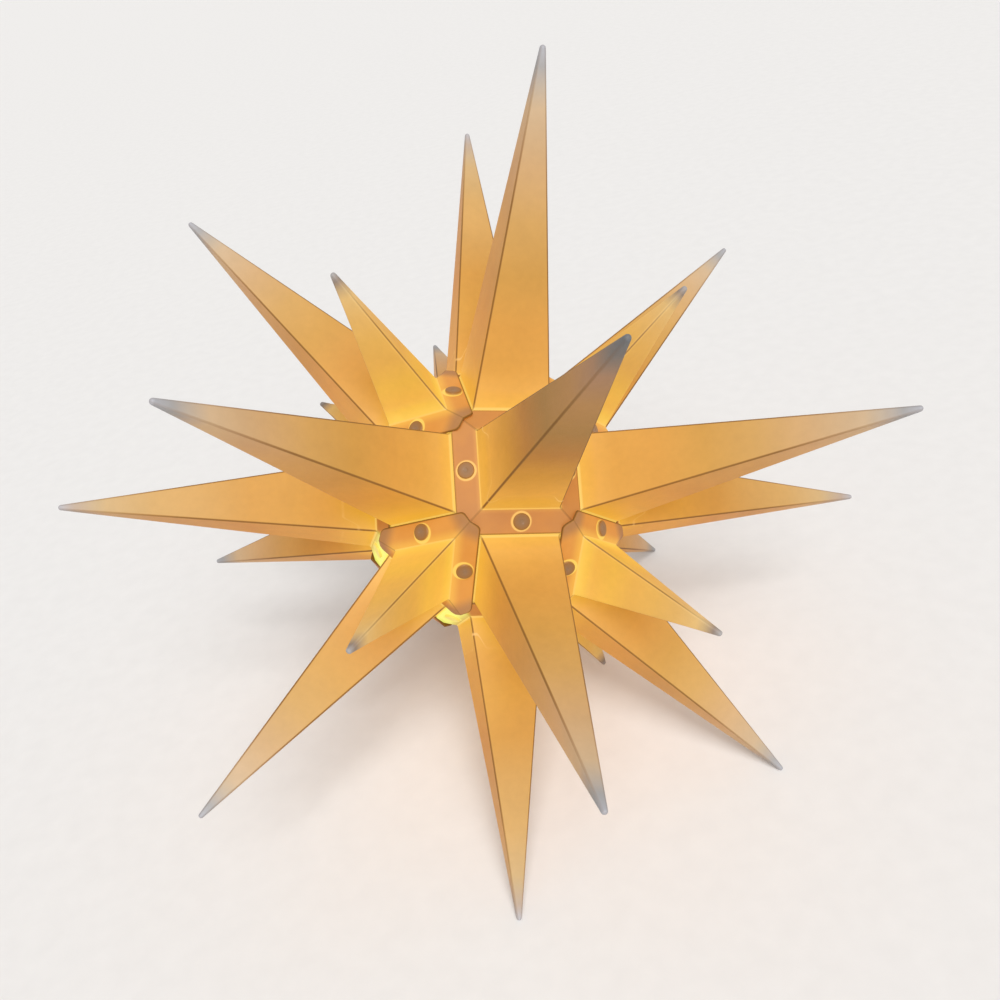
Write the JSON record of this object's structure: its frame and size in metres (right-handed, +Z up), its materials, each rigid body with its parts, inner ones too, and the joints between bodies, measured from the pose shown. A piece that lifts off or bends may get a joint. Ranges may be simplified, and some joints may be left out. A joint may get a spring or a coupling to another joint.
{
  "type": "moravian star lamp",
  "caption": "Lit star lamp of hollow translucent plastic points in two lengths, riveted together by their collars around a lamp holder and globe bulb.",
  "frame": {"origin": "bottom centre: on the surface it stands on, midway between its ends in X and Y", "axes": "+Z up; +Y along the longest extent, tip to opposite tip; the star is mirror symmetric about Y = 0, and -Y is its front"},
  "size_m": [0.512, 0.5334, 0.4375],
  "materials": {
    "star_plastic": "thin translucent white, satin, lit warm from inside",
    "rivet_plastic": "satin, in shadow against the lit collars",
    "plate_plastic": "thick white, satin",
    "fitting_plastic": "white, satin",
    "insert_plastic": "white, matte",
    "plated_steel": "zinc plated",
    "brass": "bright",
    "bulb_glass": "opal globe, lit warm white"
  },
  "bodies": {
    "root": {"face_point_1": "star_plastic", "face_point_2": "star_plastic", "face_point_3": "star_plastic", "face_point_4": "star_plastic", "face_point_5": "star_plastic", "face_point_6": "star_plastic", "edge_point_1": "star_plastic", "edge_point_2": "star_plastic", "edge_point_3": "star_plastic", "edge_point_4": "star_plastic", "edge_point_5": "star_plastic", "edge_point_6": "star_plastic", "edge_point_7": "star_plastic", "edge_point_8": "star_plastic", "edge_point_9": "star_plastic", "edge_point_10": "star_plastic", "edge_point_11": "star_plastic", "corner_point_1": "star_plastic", "corner_point_2": "star_plastic", "corner_point_3": "star_plastic", "corner_point_4": "star_plastic", "corner_point_5": "star_plastic", "corner_point_6": "star_plastic", "corner_point_7": "star_plastic", "corner_point_8": "star_plastic", "rivets": "rivet_plastic", "lamp_plate": "plate_plastic", "nipple": "plated_steel", "lock_nut": "plated_steel", "cord_grip": "fitting_plastic", "lamp_holder": "fitting_plastic", "holder_insert": "insert_plastic", "screw_shell": "brass", "centre_contact": "brass", "bulb": "bulb_glass"}
  },
  "joints": []
}
